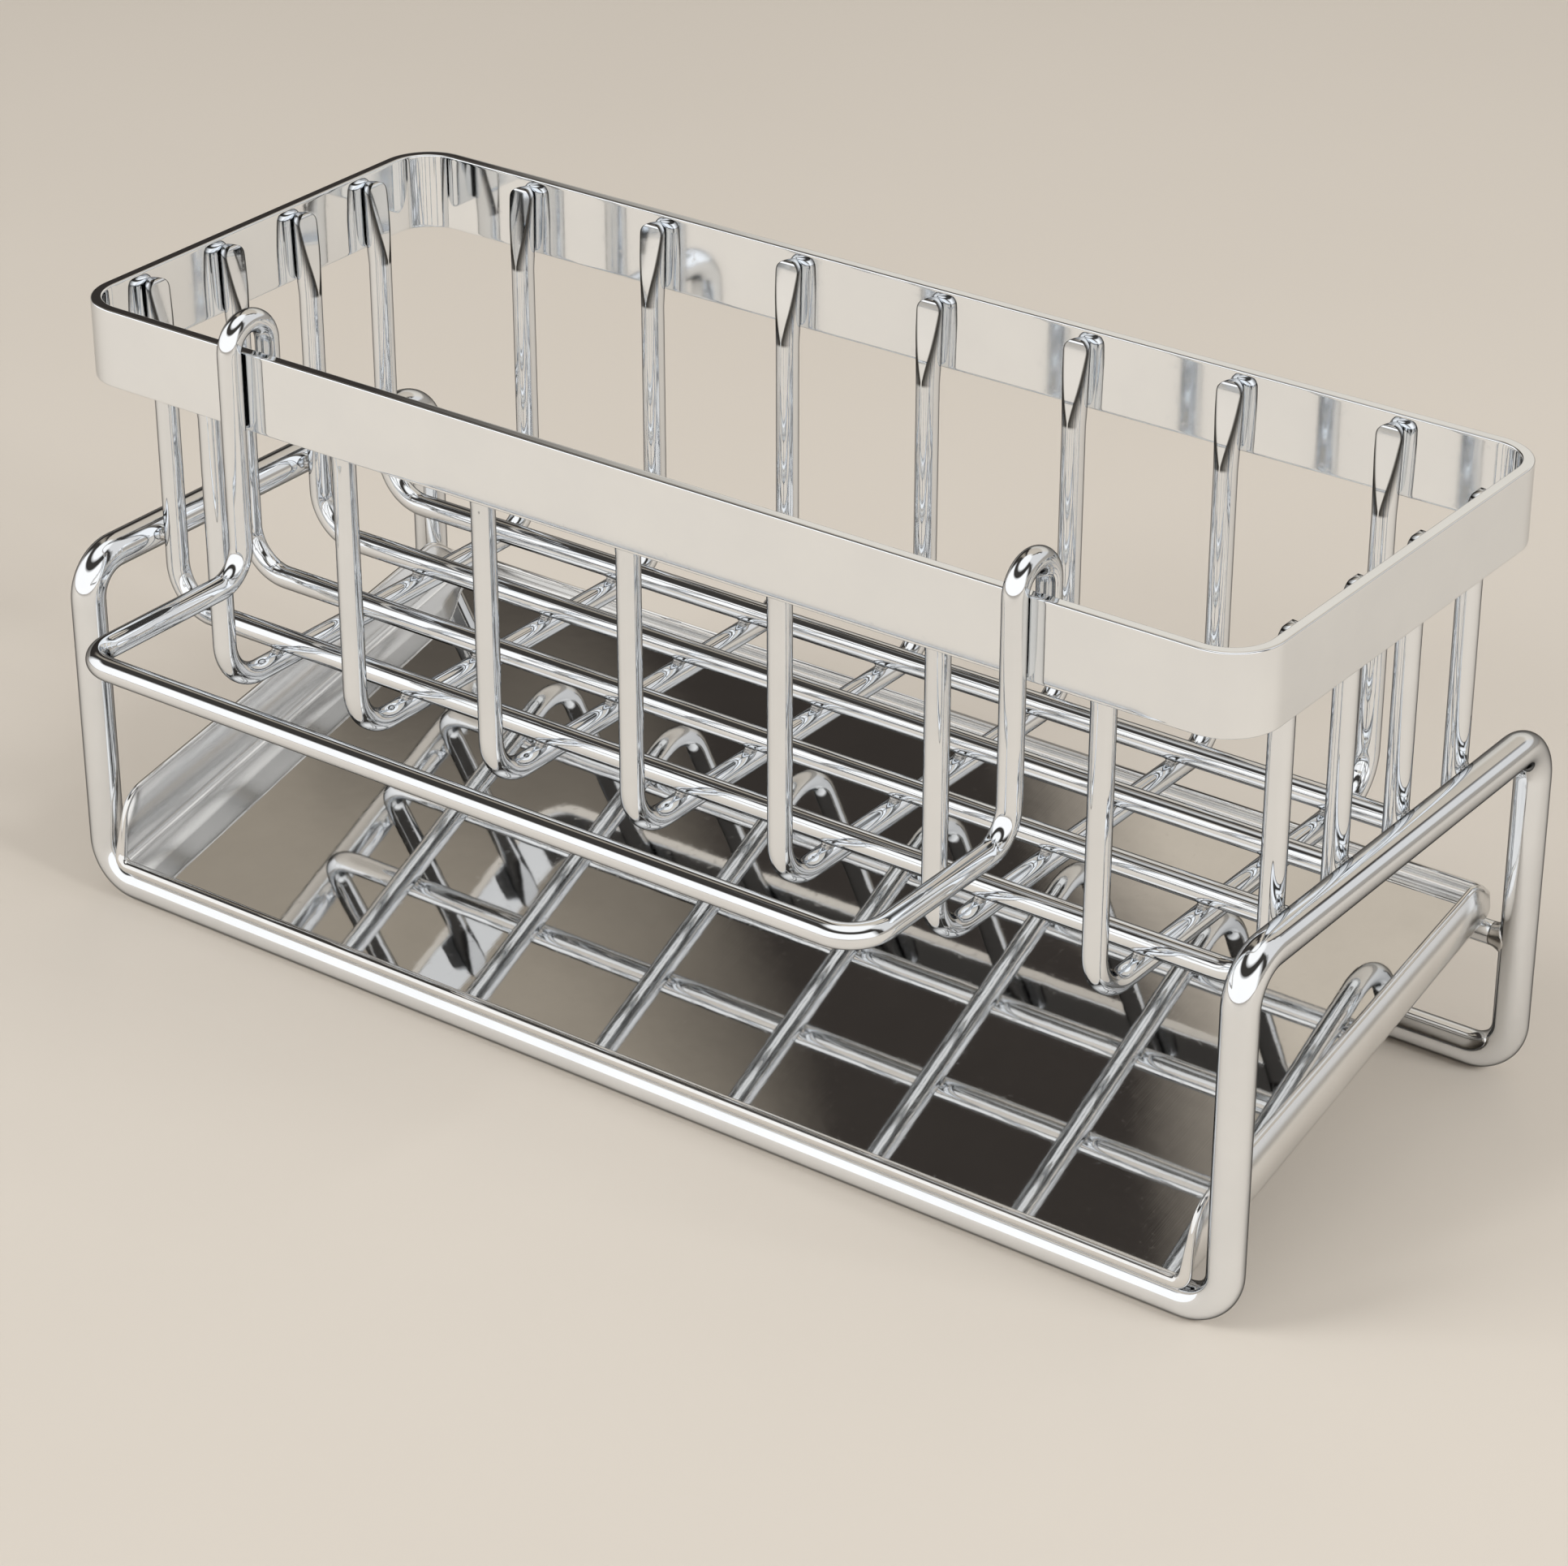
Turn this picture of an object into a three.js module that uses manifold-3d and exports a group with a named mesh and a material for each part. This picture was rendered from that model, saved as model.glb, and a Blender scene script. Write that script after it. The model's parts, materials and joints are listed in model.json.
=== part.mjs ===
// Drying rack for a sink's edge: a welded wire basket with a flat rim band, carried by a stand bent
// from one thick wire, with a cloth rail that hooks over the rim and a sloping drip tray below.
// Millimetres, +Z up, +X along the rack, +Y to the back. The rack stands on Z = 0, and its overall
// box is centred on X = 0, Y = 0.

import * as THREE from 'three';
import { mergeVertices } from 'three/addons/utils/BufferGeometryUtils.js';
import Module from 'manifold-3d';

// Stock: wire diameters, strip and sheet
const STAND_WIRE = 6;
const BASKET_WIRE = 4;
const RAIL_WIRE = 4;
const TRAY_BAR_WIRE = 4;
const BAND_THICKNESS = 2;
const TRAY_SHEET = 1;

// Rim band, outside sizes
const BAND_LENGTH = 227;
const BAND_DEPTH = 90;
const BAND_HEIGHT = 13.7;
const BAND_CORNER = 9;

// Basket: from the underside of its floor to the top of the band, and the wires in it
const BASKET_HEIGHT = 67.7;
const BASKET_BEND = 8;
const CROSS_COUNT = 7;
const CROSS_END_GAP = 26.5;
const LONG_COUNT = 4;
const LONG_END_GAP = 17.1;

// Pressed wire ends that lie against the inside of the band
const TIP_LENGTH = 15;
const TIP_THICKNESS = 2;
const TIP_WIDTH = 4.8;
const TIP_BELOW_TOP = 1.3;

// Stand: front to back between leg axes, height of the side rail axes, and how far the basket
// floor hangs below those axes
const STAND_DEPTH = 89.4;
const SIDE_RAIL_HEIGHT = 63;
const BASKET_HANG = 18.9;
const STAND_BEND = 7;

// Cloth rail: bar axis out from the band and down from its top, hooks beside the end cross wires
const RAIL_REACH = 40;
const RAIL_DROP = 39.2;
const RAIL_BEND = 6;
const HOOK_TO_WIRE = 11.5;
const HOOK_PLAY = 2.7;
const HOOK_TIP_DROP = 9;

// Drip tray on the front rail and on a bar between the rear legs
const TRAY_BAR_DROP = 37.6;
const TRAY_SIDE_GAP = 2;
const TRAY_FRONT_LIP = 1.5;
const TRAY_OVERHANG = 1.6;
const TRAY_HEM = 7;
const TRAY_WALL_FRONT = 12;
const TRAY_WALL_REAR = 10;
const TRAY_LIP_REAR = 3.4;
const TRAY_WALL_FALL = 9;
const TRAY_WALL_RAKE = 5;
const TRAY_WALL_ROUND = 4;
const TRAY_BEND = 2.4;
const TRAY_CORNER = 5;

// Clearances: a weld or butt joint, and pieces that rest on each other
const WELD_GAP = 0.3;
const REST_GAP = 0.3;

// Faceting
const WIRE_SIDES = 12;
const STAND_SIDES = 16;
const STEPS_PER_BEND = 6;
const CORNER_SEGMENTS = 8;
const FOLD_SEGMENTS = 4;
const SAME_POINT = 0.01;

// Heights that follow from the stand
const floorBottom = SIDE_RAIL_HEIGHT - BASKET_HANG;
const bandTop = floorBottom + BASKET_HEIGHT;
const crossAxisZ = floorBottom + BASKET_WIRE / 2;
const longAxisZ = crossAxisZ + BASKET_WIRE + WELD_GAP;
const groundAxisZ = STAND_WIRE / 2;

// Wire axes inside the band, and the stand's legs and side rails just outside the long wires
const bandInset = BAND_THICKNESS + WELD_GAP + BASKET_WIRE / 2;
const crossAxisY = BAND_DEPTH / 2 - bandInset;
const longAxisX = BAND_LENGTH / 2 - bandInset;
const standAxisX = longAxisX + BASKET_WIRE / 2 + WELD_GAP + STAND_WIRE / 2;
const standAxisY = STAND_DEPTH / 2;
const crossReachX = BAND_LENGTH / 2 - CROSS_END_GAP;
const longReachY = BAND_DEPTH / 2 - LONG_END_GAP;

// Cloth rail axes
const bandFrontY = -BAND_DEPTH / 2;
const hookX = crossReachX - HOOK_TO_WIRE;
const hookOuterY = bandFrontY - REST_GAP - RAIL_WIRE / 2;
const hookInnerY = bandFrontY + BAND_THICKNESS + HOOK_PLAY + RAIL_WIRE / 2;
const hookBend = (hookInnerY - hookOuterY) / 2;
const hookAxisTop = bandTop + hookBend;
const barY = bandFrontY - RAIL_REACH;
const barZ = bandTop - RAIL_DROP;

const STEEL = { color: 0xcfccc8, metalness: 1 };
const WIRE_FINISH = { ...STEEL, roughness: 0.12 };
const BAND_FINISH = { ...STEEL, roughness: 0.16 };
const TRAY_FINISH = { ...STEEL, roughness: 0.1 };

const wasm = await Module();
wasm.setup();

// A point that a wire runs through, with the radius of the bend there
function corner(x, y, z, bend = 0) {
  return { at: new THREE.Vector3(x, y, z), bend };
}

// The axis of a bent wire. Its stations lie at the ends, at points with no bend and along the bends,
// so that a straight run between them is one step.
class BentWire extends THREE.Curve {
  constructor(corners) {
    super();
    this.points = [];
    this.tangents = [];
    corners.forEach(({ at, bend }, i) => {
      const before = corners[Math.max(i - 1, 0)].at;
      const after = corners[Math.min(i + 1, corners.length - 1)].at;
      const come = at.clone().sub(i > 0 ? before : at).normalize();
      const go = (i < corners.length - 1 ? after : at).clone().sub(at).normalize();
      if (bend > 0) this.addBend(at, come, go, bend);
      else this.addStation(at, i > 0 ? come : go);
    });
  }

  addStation(point, tangent) {
    const last = this.points.at(-1);
    if (last && last.distanceTo(point) < SAME_POINT) return;
    this.points.push(point.clone());
    this.tangents.push(tangent.clone());
  }

  addBend(at, come, go, bend) {
    const turn = come.angleTo(go);
    const start = at.clone().addScaledVector(come, -bend * Math.tan(turn / 2));
    const sideways = go.clone().addScaledVector(come, -Math.cos(turn)).normalize();
    for (let k = 0; k <= STEPS_PER_BEND; k++) {
      const angle = (turn * k) / STEPS_PER_BEND;
      const point = start.clone().addScaledVector(come, bend * Math.sin(angle));
      point.addScaledVector(sideways, bend * (1 - Math.cos(angle)));
      const tangent = come.clone().multiplyScalar(Math.cos(angle));
      this.addStation(point, tangent.addScaledVector(sideways, Math.sin(angle)));
    }
  }

  get steps() {
    return this.points.length - 1;
  }

  between(list, t, target) {
    const i = Math.min(Math.floor(t * this.steps), this.steps - 1);
    return target.lerpVectors(list[i], list[i + 1], t * this.steps - i);
  }

  getPointAt(t, target = new THREE.Vector3()) {
    return this.between(this.points, t, target);
  }

  getTangentAt(t, target = new THREE.Vector3()) {
    return this.between(this.tangents, t, target).normalize();
  }
}

function wireGeometry(corners, diameter, sides) {
  const section = new THREE.Shape();
  section.absarc(0, 0, diameter / 2, 0, 2 * Math.PI);
  const path = new BentWire(corners);
  return new THREE.ExtrudeGeometry(section, {
    steps: path.steps,
    curveSegments: sides / 2,
    extrudePath: path,
  });
}

// Presses the upper ends of a U wire that lies along X: the side towards the basket becomes a
// sloping flat, and the metal spreads sideways.
function pressTips(geometry, halfSpan, pressStart) {
  const position = geometry.attributes.position;
  const round = BASKET_WIRE / 2;
  for (let i = 0; i < position.count; i++) {
    const share = THREE.MathUtils.clamp((position.getZ(i) - pressStart) / TIP_LENGTH, 0, 1);
    const flat = THREE.MathUtils.lerp(round, TIP_THICKNESS - round, share);
    const inward = Math.min(halfSpan - Math.abs(position.getX(i)), flat);
    if (share > 0) position.setX(i, Math.sign(position.getX(i)) * (halfSpan - inward));
    position.setY(i, position.getY(i) * THREE.MathUtils.lerp(1, TIP_WIDTH / BASKET_WIRE, share));
  }
  return geometry;
}

// A basket wire in the XZ plane: down from the band, across the floor and up again
function basketWireGeometry(halfSpan, axisZ) {
  const top = bandTop - TIP_BELOW_TOP;
  const pressStart = top - TIP_LENGTH;
  const corners = [
    corner(-halfSpan, 0, top),
    corner(-halfSpan, 0, pressStart),
    corner(-halfSpan, 0, axisZ, BASKET_BEND),
    corner(halfSpan, 0, axisZ, BASKET_BEND),
    corner(halfSpan, 0, pressStart),
    corner(halfSpan, 0, top),
  ];
  return pressTips(wireGeometry(corners, BASKET_WIRE, WIRE_SIDES), halfSpan, pressStart);
}

function roundedRectangle(length, depth, radius, PathClass) {
  const path = new PathClass();
  const x = length / 2 - radius;
  const y = depth / 2 - radius;
  const quarter = Math.PI / 2;
  path.absarc(x, y, radius, 0, quarter);
  path.absarc(-x, y, radius, quarter, 2 * quarter);
  path.absarc(-x, -y, radius, 2 * quarter, 3 * quarter);
  path.absarc(x, -y, radius, 3 * quarter, 4 * quarter);
  path.closePath();
  return path;
}

function bandGeometry() {
  const strip = roundedRectangle(BAND_LENGTH, BAND_DEPTH, BAND_CORNER, THREE.Shape);
  const wall = 2 * BAND_THICKNESS;
  const innerCorner = BAND_CORNER - BAND_THICKNESS;
  strip.holes.push(roundedRectangle(BAND_LENGTH - wall, BAND_DEPTH - wall, innerCorner, THREE.Path));
  const options = { depth: BAND_HEIGHT, bevelEnabled: false, curveSegments: CORNER_SEGMENTS };
  return new THREE.ExtrudeGeometry(strip, options).translate(0, 0, bandTop - BAND_HEIGHT);
}

// The stand is one wire whose ends meet in a butt weld in the middle of the rear ground rail
function standGeometry() {
  const x = standAxisX;
  const y = standAxisY;
  const corners = [
    corner(WELD_GAP / 2, y, groundAxisZ),
    corner(x, y, groundAxisZ, STAND_BEND),
    corner(x, y, SIDE_RAIL_HEIGHT, STAND_BEND),
    corner(x, -y, SIDE_RAIL_HEIGHT, STAND_BEND),
    corner(x, -y, groundAxisZ, STAND_BEND),
    corner(-x, -y, groundAxisZ, STAND_BEND),
    corner(-x, -y, SIDE_RAIL_HEIGHT, STAND_BEND),
    corner(-x, y, SIDE_RAIL_HEIGHT, STAND_BEND),
    corner(-x, y, groundAxisZ, STAND_BEND),
    corner(-WELD_GAP / 2, y, groundAxisZ),
  ];
  return wireGeometry(corners, STAND_WIRE, STAND_SIDES);
}

function clothRailGeometry() {
  const hookTipZ = bandTop - HOOK_TIP_DROP;
  const leftHalf = [
    corner(-hookX, hookInnerY, hookTipZ),
    corner(-hookX, hookInnerY, hookAxisTop, hookBend),
    corner(-hookX, hookOuterY, hookAxisTop, hookBend),
    corner(-hookX, hookOuterY, barZ, RAIL_BEND),
    corner(-hookX, barY, barZ, RAIL_BEND),
  ];
  const rightHalf = leftHalf.map(({ at, bend }) => corner(-at.x, at.y, at.z, bend)).reverse();
  return wireGeometry([...leftHalf, ...rightHalf], RAIL_WIRE, WIRE_SIDES);
}

// The bar that carries the back of the tray, butted between the rear legs
const trayBarZ = SIDE_RAIL_HEIGHT - TRAY_BAR_DROP;
const trayBarHalf = standAxisX - STAND_WIRE / 2 - WELD_GAP;

function trayBarGeometry() {
  const ends = [
    corner(-trayBarHalf, standAxisY, trayBarZ),
    corner(trayBarHalf, standAxisY, trayBarZ),
  ];
  return wireGeometry(ends, TRAY_BAR_WIRE, WIRE_SIDES);
}

// The tray's floor lies on the tray bar, and on the front ground rail through the hem folded under
// its front edge. Tray coordinates run up the floor's underside from its nearest point to the rail,
// and the floor's flat ends an overhang past the bar, where the rear wall's bend starts.
const frontClear = STAND_WIRE / 2 + REST_GAP + TRAY_SHEET;
const barClear = TRAY_BAR_WIRE / 2 + REST_GAP;
const barRise = trayBarZ - groundAxisZ;
const barDistance = Math.hypot(STAND_DEPTH, barRise);
const traySlope = Math.atan2(barRise, STAND_DEPTH) - Math.asin((frontClear - barClear) / barDistance);
const trayRun = Math.sqrt(barDistance ** 2 - (frontClear - barClear) ** 2);
const trayFront = -TRAY_FRONT_LIP;
const trayRear = trayRun + TRAY_OVERHANG + TRAY_BEND;
const trayHalfWidth = standAxisX - STAND_WIRE / 2 - TRAY_SIDE_GAP;
const trayOriginY = -standAxisY - frontClear * Math.sin(traySlope);
const trayOriginZ = groundAxisZ + frontClear * Math.cos(traySlope);

// A side outline of the tray, drawn up the slope, extruded across the rack
function acrossRack(outline, halfWidth) {
  const options = { depth: 2 * halfWidth, bevelEnabled: false, curveSegments: CORNER_SEGMENTS };
  const geometry = new THREE.ExtrudeGeometry(outline, options).translate(0, 0, -halfWidth);
  const upSlope = new THREE.Vector3(0, 1, 0);
  const offSlope = new THREE.Vector3(0, 0, 1);
  const across = new THREE.Vector3(1, 0, 0);
  return geometry.applyMatrix4(new THREE.Matrix4().makeBasis(upSlope, offSlope, across));
}

function toSolid(geometry) {
  geometry.deleteAttribute('normal');
  geometry.deleteAttribute('uv');
  const merged = mergeVertices(geometry);
  const vertProperties = Float32Array.from(merged.attributes.position.array);
  const triVerts = Uint32Array.from(merged.index.array);
  return new wasm.Manifold(new wasm.Mesh({ numProp: 3, vertProperties, triVerts }));
}

function toGeometry(solid) {
  const mesh = solid.getMesh();
  const geometry = new THREE.BufferGeometry();
  geometry.setAttribute('position', new THREE.BufferAttribute(mesh.vertProperties, 3));
  geometry.setIndex(new THREE.BufferAttribute(mesh.triVerts, 1));
  return geometry;
}

// A block with the tray's rounded corners and bends, set in from its outside. It reaches as far to
// the front as to the rear, and above the walls.
function pressedBlock(inset) {
  const bend = TRAY_BEND - inset;
  const width = 2 * (trayHalfWidth - inset);
  const plan = roundedRectangle(width, 2 * (trayRear - inset), TRAY_CORNER - inset, THREE.Shape);
  const options = {
    depth: TRAY_WALL_FRONT,
    curveSegments: CORNER_SEGMENTS,
    bevelThickness: bend,
    bevelSize: bend,
    bevelOffset: -bend,
    bevelSegments: FOLD_SEGMENTS,
  };
  return toSolid(new THREE.ExtrudeGeometry(plan, options).translate(0, 0, bend + inset));
}

// Floor, side walls with a raked front edge that fall to a low lip at the rear, open at the front
function trayGeometry() {
  const beyond = trayRear + TRAY_BEND;
  const fallStart = trayRear - TRAY_WALL_FALL;
  const fallMiddle = trayRear - TRAY_WALL_FALL / 2;
  const rakeTop = trayFront + TRAY_WALL_RAKE;
  const roundStart = TRAY_WALL_FRONT - TRAY_WALL_ROUND;
  const rakeShare = (roundStart - TRAY_SHEET) / (TRAY_WALL_FRONT - TRAY_SHEET);
  const side = new THREE.Shape();
  side.moveTo(trayFront, -TRAY_BEND);
  side.lineTo(beyond, -TRAY_BEND);
  side.lineTo(beyond, TRAY_LIP_REAR);
  side.lineTo(trayRear, TRAY_LIP_REAR);
  side.bezierCurveTo(fallMiddle, TRAY_LIP_REAR, fallMiddle, TRAY_WALL_REAR, fallStart, TRAY_WALL_REAR);
  side.lineTo(rakeTop + TRAY_WALL_ROUND, TRAY_WALL_FRONT);
  side.quadraticCurveTo(rakeTop, TRAY_WALL_FRONT, trayFront + TRAY_WALL_RAKE * rakeShare, roundStart);
  side.lineTo(trayFront, TRAY_SHEET);
  side.closePath();
  const shell = pressedBlock(0).subtract(pressedBlock(TRAY_SHEET));
  const tray = shell.intersect(toSolid(acrossRack(side, trayHalfWidth + TRAY_BEND)));

  const hem = new THREE.Shape();
  hem.moveTo(trayFront, -TRAY_SHEET);
  hem.lineTo(trayFront + TRAY_HEM, -TRAY_SHEET);
  hem.lineTo(trayFront + TRAY_HEM, TRAY_SHEET / 2);
  hem.lineTo(trayFront, TRAY_SHEET / 2);
  hem.closePath();
  return toGeometry(tray.add(toSolid(acrossRack(hem, trayHalfWidth - TRAY_BEND))));
}

function named(name, geometry, finish) {
  const mesh = new THREE.Mesh(geometry, new THREE.MeshStandardMaterial(finish));
  mesh.name = name;
  return mesh;
}

// Places of equal wires, evenly spread between two ends
function spread(count, reach) {
  return Array.from({ length: count }, (_, i) => -reach + (2 * reach * i) / (count - 1));
}

const rack = new THREE.Group();
rack.add(named('stand_frame', standGeometry(), WIRE_FINISH));
rack.add(named('rim_band', bandGeometry(), BAND_FINISH));
rack.add(named('tray_bar', trayBarGeometry(), WIRE_FINISH));
rack.add(named('cloth_rail', clothRailGeometry(), WIRE_FINISH));

spread(CROSS_COUNT, crossReachX).forEach((x, i) => {
  const wire = named(`cross_wire_${i + 1}`, basketWireGeometry(crossAxisY, crossAxisZ), WIRE_FINISH);
  wire.rotation.z = Math.PI / 2;
  wire.position.x = x;
  rack.add(wire);
});

spread(LONG_COUNT, longReachY).forEach((y, i) => {
  const wire = named(`long_wire_${i + 1}`, basketWireGeometry(longAxisX, longAxisZ), WIRE_FINISH);
  wire.position.y = y;
  rack.add(wire);
});

const tray = named('drip_tray', trayGeometry(), TRAY_FINISH);
tray.position.set(0, trayOriginY, trayOriginZ);
tray.rotation.x = traySlope;
rack.add(tray);

// The box's front is the cloth rail's bar and its back is the stand's rear legs
const boxFront = barY - RAIL_WIRE / 2;
const boxBack = standAxisY + STAND_WIRE / 2;
rack.position.y = -(boxFront + boxBack) / 2;

export default rack;
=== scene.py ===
"""The look of the drying rack: polished wire, strip and sheet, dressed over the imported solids.

Shapes are worked out in millimetres in the rack's own frame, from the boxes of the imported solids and
the sizes below, and turn into metres when a piece is made.
"""
import json

import bmesh
import bpy
import numpy as np
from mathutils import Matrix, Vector


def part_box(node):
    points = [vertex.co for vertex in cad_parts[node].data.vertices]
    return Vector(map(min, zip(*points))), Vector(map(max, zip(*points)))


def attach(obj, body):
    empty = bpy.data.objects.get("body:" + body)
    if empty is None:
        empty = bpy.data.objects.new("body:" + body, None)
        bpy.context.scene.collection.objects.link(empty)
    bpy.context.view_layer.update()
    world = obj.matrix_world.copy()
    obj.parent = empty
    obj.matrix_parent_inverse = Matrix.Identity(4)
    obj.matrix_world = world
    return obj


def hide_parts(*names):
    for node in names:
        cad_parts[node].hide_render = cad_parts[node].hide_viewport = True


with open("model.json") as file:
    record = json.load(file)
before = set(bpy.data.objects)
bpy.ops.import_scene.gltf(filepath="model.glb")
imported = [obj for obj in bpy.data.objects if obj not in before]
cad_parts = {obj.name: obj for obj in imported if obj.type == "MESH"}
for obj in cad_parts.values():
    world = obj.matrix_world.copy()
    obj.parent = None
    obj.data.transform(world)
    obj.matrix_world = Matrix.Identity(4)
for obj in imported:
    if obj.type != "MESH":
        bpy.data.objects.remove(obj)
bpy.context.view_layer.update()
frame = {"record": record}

MM = 0.001

# Stock: wire radii, strip and sheet
STAND_RADIUS = 3.0
WIRE_RADIUS = 2.0
RAIL_RADIUS = 2.0
BAR_RADIUS = 2.0
BAND_THICKNESS = 2.0
SHEET = 1.0

# Bends, measured on the axis of a wire and on the outside of strip and sheet
STAND_BEND = 7.0
BASKET_BEND = 8.0
RAIL_BEND = 6.0
BAND_CORNER = 9.0
TRAY_BEND = 2.4
TRAY_CORNER = 5.0

# Pressed wire ends, hook ends and clearances
TIP_LENGTH = 15.0
TIP_THICKNESS = 2.0
TIP_WIDTH = 4.8
HOOK_TIP_DROP = 9.0
WELD_GAP = 0.3
REST_GAP = 0.3

# Drip tray: its edges ahead of the rail and past the bar, the hem, and the walls
TRAY_FRONT_LIP = 1.5
TRAY_OVERHANG = 1.6
TRAY_HEM = 7.0
TRAY_WALL_FRONT = 12.0
TRAY_WALL_REAR = 10.0
TRAY_LIP_REAR = 3.4
TRAY_WALL_FALL = 9.0
TRAY_WALL_RAKE = 5.0
TRAY_WALL_ROUND = 4.0
LIP_BEAD = 1.15
WALL_BEAD = 0.55

# Rounded edges
WIRE_END_EDGE = 0.7
TIP_EDGE = 0.35
TIP_ROUND = 1.9
BAND_EDGE = 0.3

# Fineness of the meshes. A support row keeps the shading of a straight run apart from its bend.
TUBE_SIDES = 32
BEND_STEPS = 16
CORNER_STEPS = 20
EDGE_STEPS = 5
SUPPORT = 0.5

record = frame["record"]
body_of = {node: body for body, nodes in record["behaviour"]["bodies"].items() for node in nodes}


def box(node):
    """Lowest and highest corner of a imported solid, in millimetres."""
    low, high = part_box(node)
    return np.array(low) / MM, np.array(high) / MM


def unit(vector):
    return vector / np.linalg.norm(vector)


# Names that meshes and materials share: the UV layer, the painted shade along pressed edges, and the haze
STOCK_UV = "stock"
PAINTED_SHADE = "painted_shade"
HAZE = "haze"


class Skin:
    """The surface of one piece, gathered from lofts and faces. Its UVs are millimetres around and
    along the stock, and its marks are values at points that a material reads by name."""

    def __init__(self):
        self.points = []
        self.faces = []
        self.uvs = []
        self.marks = {}

    def add_points(self, points):
        first = len(self.points)
        self.points.extend(np.asarray(points, float).reshape(-1, 3))
        return first

    def add_face(self, corners, uvs):
        self.faces.append(list(corners))
        self.uvs.extend(uvs)

    def loft(self, rows, closed=False):
        """Joins rings of points. The rings follow each other round a loop if closed, and otherwise
        the first and the last one are filled."""
        rows = np.asarray(rows, float)
        count, sides, _ = rows.shape
        first = self.add_points(rows)
        ring = rows[count // 2]
        around = np.concatenate([[0], np.cumsum(np.linalg.norm(np.roll(ring, -1, 0) - ring, axis=1))])
        middles = rows.mean(axis=1)
        middles = np.concatenate([middles, middles[:1]])
        along = np.concatenate([[0], np.cumsum(np.linalg.norm(np.diff(middles, axis=0), axis=1))])
        for i in range(count if closed else count - 1):
            here, there = first + i * sides, first + (i + 1) % count * sides
            for j in range(sides):
                k = (j + 1) % sides
                self.add_face(
                    (here + j, here + k, there + k, there + j),
                    [(around[j], along[i]), (around[j + 1], along[i]),
                     (around[j + 1], along[i + 1]), (around[j], along[i + 1])],
                )
        if not closed:
            for i in (0, count - 1):
                corners = range(first + i * sides, first + (i + 1) * sides)
                self.add_face(corners, [(around[j], along[i]) for j in range(sides)])

    def make(self, name, material, node, replaces=True):
        """The piece as an object that rides with the node's body, in the node's place or beside it."""
        mesh = bpy.data.meshes.new(name)
        mesh.from_pydata([tuple(point * MM) for point in self.points], [], self.faces)
        layer = mesh.uv_layers.new(name=STOCK_UV)
        layer.data.foreach_set("uv", np.asarray(self.uvs, float).ravel())
        for mark, values in self.marks.items():
            mesh.attributes.new(mark, "FLOAT", "POINT").data.foreach_set("value", values)
        tidy = bmesh.new()
        tidy.from_mesh(mesh)
        bmesh.ops.recalc_face_normals(tidy, faces=tidy.faces)
        tidy.to_mesh(mesh)
        tidy.free()
        mesh.polygons.foreach_set("use_smooth", [True] * len(mesh.polygons))
        mesh.materials.append(material)
        piece = bpy.data.objects.new(name, mesh)
        bpy.context.scene.collection.objects.link(piece)
        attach(piece, body_of[node])
        if replaces:
            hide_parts(node)
        return piece


# Bent wire

def bent_path(corners):
    """Stations along a wire axis, as points and tangents, through corners of (point, bend radius)."""
    places = [np.array(at, float) for at, _ in corners]
    bends = [bend for _, bend in corners]
    runs = [unit(b - a) for a, b in zip(places, places[1:])]
    turns = [0.0] + [np.arccos(a @ b) for a, b in zip(runs, runs[1:])] + [0.0]
    reaches = [bend * np.tan(turn / 2) for bend, turn in zip(bends, turns)]
    points, tangents = [places[0]], [runs[0]]
    for i in range(1, len(places) - 1):
        come, go = runs[i - 1], runs[i]
        start = places[i] - come * reaches[i]
        sideways = unit(go - come * np.cos(turns[i]))
        if np.linalg.norm(start - places[i - 1]) - reaches[i - 1] > 2 * SUPPORT:
            points.append(start - come * SUPPORT)
            tangents.append(come)
        for angle in np.linspace(0, turns[i], BEND_STEPS + 1):
            point = start + bends[i] * (come * np.sin(angle) + sideways * (1 - np.cos(angle)))
            if np.linalg.norm(point - points[-1]) > SUPPORT / 10:
                points.append(point)
                tangents.append(come * np.cos(angle) + sideways * np.sin(angle))
        end = places[i] + go * reaches[i]
        if np.linalg.norm(places[i + 1] - end) - reaches[i + 1] > 2 * SUPPORT:
            points.append(end + go * SUPPORT)
            tangents.append(go)
    return np.array(points + [places[-1]]), np.array(tangents + [runs[-1]])


def tube(points, tangents, radii, sides=TUBE_SIDES):
    """Rings of a round wire, each turned from the last one without twist."""
    angles = np.arange(sides) * 2 * np.pi / sides
    across = np.array([0.0, 0.0, 1.0]) if abs(tangents[0][2]) < 0.9 else np.array([1.0, 0.0, 0.0])
    rows = []
    for point, tangent, radius in zip(points, tangents, radii):
        across = unit(across - tangent * (across @ tangent))
        beside = np.cross(tangent, across)
        rows.append(point + radius * (np.outer(np.cos(angles), across) + np.outer(np.sin(angles), beside)))
    return rows


def round_wire(corners, radius, edge):
    """Rings of a bent wire whose two ends have a rounded edge."""
    points, tangents = bent_path(corners)
    angles = np.linspace(np.pi / 2, 0, EDGE_STEPS)
    inset = edge * (1 - np.sin(angles))
    shrink = radius - edge * (1 - np.cos(angles))
    head = points[0] + np.outer(inset, tangents[0])
    tail = points[-1] - np.outer(inset[::-1], tangents[-1])
    points = np.concatenate([head, points[1:-1], tail])
    tangents = np.concatenate([[tangents[0]] * EDGE_STEPS, tangents[1:-1], [tangents[-1]] * EDGE_STEPS])
    radii = np.concatenate([shrink, [radius] * (len(points) - 2 * EDGE_STEPS), shrink[::-1]])
    return tube(points, tangents, radii)


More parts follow.
